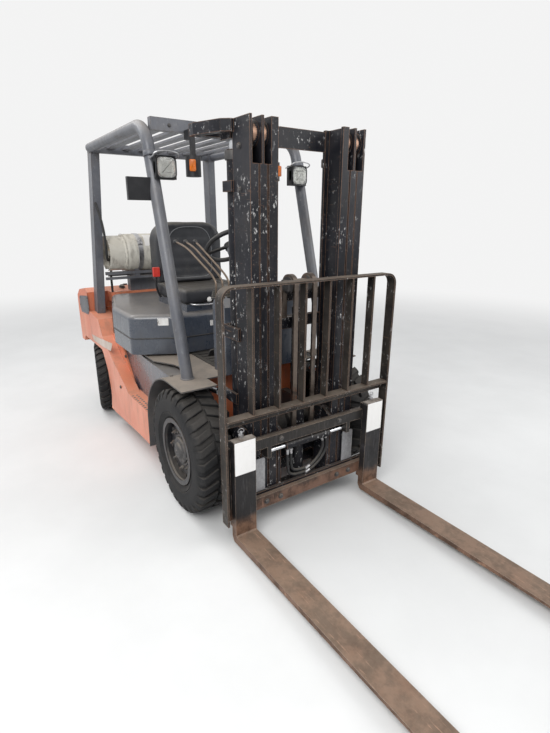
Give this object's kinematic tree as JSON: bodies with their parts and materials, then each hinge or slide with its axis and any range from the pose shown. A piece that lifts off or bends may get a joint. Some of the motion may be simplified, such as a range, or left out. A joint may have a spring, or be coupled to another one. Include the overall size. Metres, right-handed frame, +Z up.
{
  "type": "counterbalance forklift truck",
  "caption": "Counterbalance forklift with a tilting telescopic mast, side shift, load backrest, steered rear wheels, gas tank, overhead guard and a hood that opens.",
  "frame": {"origin": "on the floor under the middle of the bounding box, 0.217 m behind the front axle", "axes": "+X towards the fork tips, +Y to the driver's left, +Z up"},
  "size_m": [3.848, 1.304, 2.11],
  "materials": {
    "paint_orange": "satin, dusty",
    "paint_dark": "satin dark blue-grey",
    "paint_black": "semi-gloss, worn",
    "paint_grey": "worn grey",
    "fork_steel": "worn, rust brown",
    "iron": "oily cast iron",
    "tyre_rubber": "dusty rubber",
    "rim_black": "semi-gloss",
    "chrome_rod": "polished",
    "chain_steel": "greased",
    "seat_vinyl": "smooth vinyl",
    "tank_paint": "dirty off-white",
    "lamp_black": "matt",
    "plastic_black": "satin",
    "hose_rubber": "matt"
  },
  "bodies": {
    "chassis": {"frame": "paint_orange", "counterweight": "paint_orange", "drive_axle": "iron", "steer_axle": "iron", "engine": "iron", "fenders": "paint_grey", "floor_plate": "paint_grey", "step_walls": "paint_dark", "cowl": "paint_dark", "steering_column": "paint_grey", "levers": "chrome_rod", "guard_tubes": "paint_grey", "guard_legs": "paint_grey", "guard_roof": "paint_grey", "headlights": "lamp_black", "signal_lamps": "lamp_black", "mirror_right": "lamp_black", "gas_tank": "tank_paint", "tank_cradle": "paint_grey", "gas_hose": "hose_rubber", "tilt_anchors": "iron"},
    "wheel_front_right": {"front_tyre_right": "tyre_rubber", "front_rim_right": "rim_black"},
    "wheel_front_left": {"front_tyre_left": "tyre_rubber", "front_rim_left": "rim_black"},
    "knuckle_right": {"knuckle_right": "iron"},
    "knuckle_left": {"knuckle_left": "iron"},
    "wheel_rear_right": {"rear_tyre_right": "tyre_rubber", "rear_rim_right": "rim_black"},
    "wheel_rear_left": {"rear_tyre_left": "tyre_rubber", "rear_rim_left": "rim_black"},
    "steering_wheel": {"steering_wheel": "plastic_black"},
    "hood": {"hood": "paint_dark", "seat_base": "paint_dark", "seat_cushion": "seat_vinyl", "seat_back": "seat_vinyl"},
    "mast": {"mast_outer": "paint_black", "lift_barrels": "paint_black"},
    "tilt_barrels": {"tilt_barrels": "iron"},
    "tilt_rods": {"tilt_rods": "chrome_rod"},
    "mast_middle": {"mast_middle": "paint_black", "lift_rods": "chrome_rod"},
    "mast_inner": {"mast_inner": "paint_black", "free_barrel": "paint_black"},
    "crosshead": {"crosshead": "iron", "lift_chains": "chain_steel"},
    "carriage": {"carriage": "paint_black", "shift_cylinder": "paint_black"},
    "side_shift": {"shift_frame": "paint_black", "shift_rod": "chrome_rod", "backrest": "paint_black"},
    "fork_right": {"fork_right": "fork_steel"},
    "fork_left": {"fork_left": "fork_steel"}
  },
  "joints": [
    {"name": "spin_front_right", "type": "hinge", "parent": "chassis", "child": "wheel_front_right", "pos_m": [0.217, -0.51, 0.353], "axis": [0, 1, 0], "continuous": true},
    {"name": "spin_front_left", "type": "hinge", "parent": "chassis", "child": "wheel_front_left", "pos_m": [0.217, 0.51, 0.353], "axis": [0, 1, 0], "continuous": true},
    {"name": "steer_right", "type": "hinge", "parent": "chassis", "child": "knuckle_right", "pos_m": [-1.483, -0.345, 0.294], "axis": [0, 0, 1], "range_deg": [-56, 80]},
    {"name": "steer_left", "type": "hinge", "parent": "chassis", "child": "knuckle_left", "pos_m": [-1.483, 0.345, 0.294], "axis": [0, 0, 1], "range_deg": [-56, 80]},
    {"name": "spin_rear_right", "type": "hinge", "parent": "knuckle_right", "child": "wheel_rear_right", "pos_m": [-1.51938, -0.51618, 0.294], "axis": [0.2079, 0.9781, 0], "continuous": true},
    {"name": "spin_rear_left", "type": "hinge", "parent": "knuckle_left", "child": "wheel_rear_left", "pos_m": [-1.44662, 0.51618, 0.294], "axis": [0.2079, 0.9781, 0], "continuous": true},
    {"name": "steering_wheel_turn", "type": "hinge", "parent": "chassis", "child": "steering_wheel", "pos_m": [-0.203, 0, 1.43], "axis": [-0.6428, 0, 0.766], "continuous": true},
    {"name": "hood_open", "type": "hinge", "parent": "chassis", "child": "hood", "pos_m": [-1.431, 0, 0.985], "axis": [0, -1, 0], "range_deg": [0, 50]},
    {"name": "mast_tilt", "type": "hinge", "parent": "chassis", "child": "mast", "pos_m": [0.217, 0, 0.353], "axis": [0, 1, 0], "range_deg": [-6, 6]},
    {"name": "tilt_barrel_swing", "type": "hinge", "parent": "chassis", "child": "tilt_barrels", "pos_m": [-0.263, 0, 0.6], "axis": [0, 1, 0], "range_deg": [-1.65, 1.65]},
    {"name": "tilt_rod_slide", "type": "slide", "parent": "tilt_barrels", "child": "tilt_rods", "axis": [0.9886, 0, 0.1508], "range_m": [-0.034, 0.034]},
    {"name": "middle_lift", "type": "slide", "parent": "mast", "child": "mast_middle", "axis": [0, 0, 1], "range_m": [0, 1.4]},
    {"name": "inner_lift", "type": "slide", "parent": "mast_middle", "child": "mast_inner", "axis": [0, 0, 1], "range_m": [0, 1.4]},
    {"name": "crosshead_lift", "type": "slide", "parent": "mast_inner", "child": "crosshead", "axis": [0, 0, 1], "range_m": [0, 0.66]},
    {"name": "carriage_lift", "type": "slide", "parent": "mast_inner", "child": "carriage", "axis": [0, 0, 1], "range_m": [0, 1.32], "deforming": ["lift_chains"]},
    {"name": "side_shift_slide", "type": "slide", "parent": "carriage", "child": "side_shift", "axis": [0, 1, 0], "range_m": [-0.09, 0.09]},
    {"name": "fork_right_slide", "type": "slide", "parent": "side_shift", "child": "fork_right", "axis": [0, 1, 0], "range_m": [-0.027, 0.34]},
    {"name": "fork_left_slide", "type": "slide", "parent": "side_shift", "child": "fork_left", "axis": [0, 1, 0], "range_m": [-0.34, 0.027]}
  ],
  "couplings": [
    {"joint": "steer_left", "follows": "steer_right", "ratio": 1},
    {"joint": "tilt_barrel_swing", "follows": "mast_tilt", "ratio": 0.2667},
    {"joint": "tilt_rod_slide", "follows": "mast_tilt", "m_per_rad": 0.3161},
    {"joint": "inner_lift", "follows": "middle_lift", "ratio": 1},
    {"joint": "crosshead_lift", "follows": "carriage_lift", "ratio": 0.5}
  ]
}
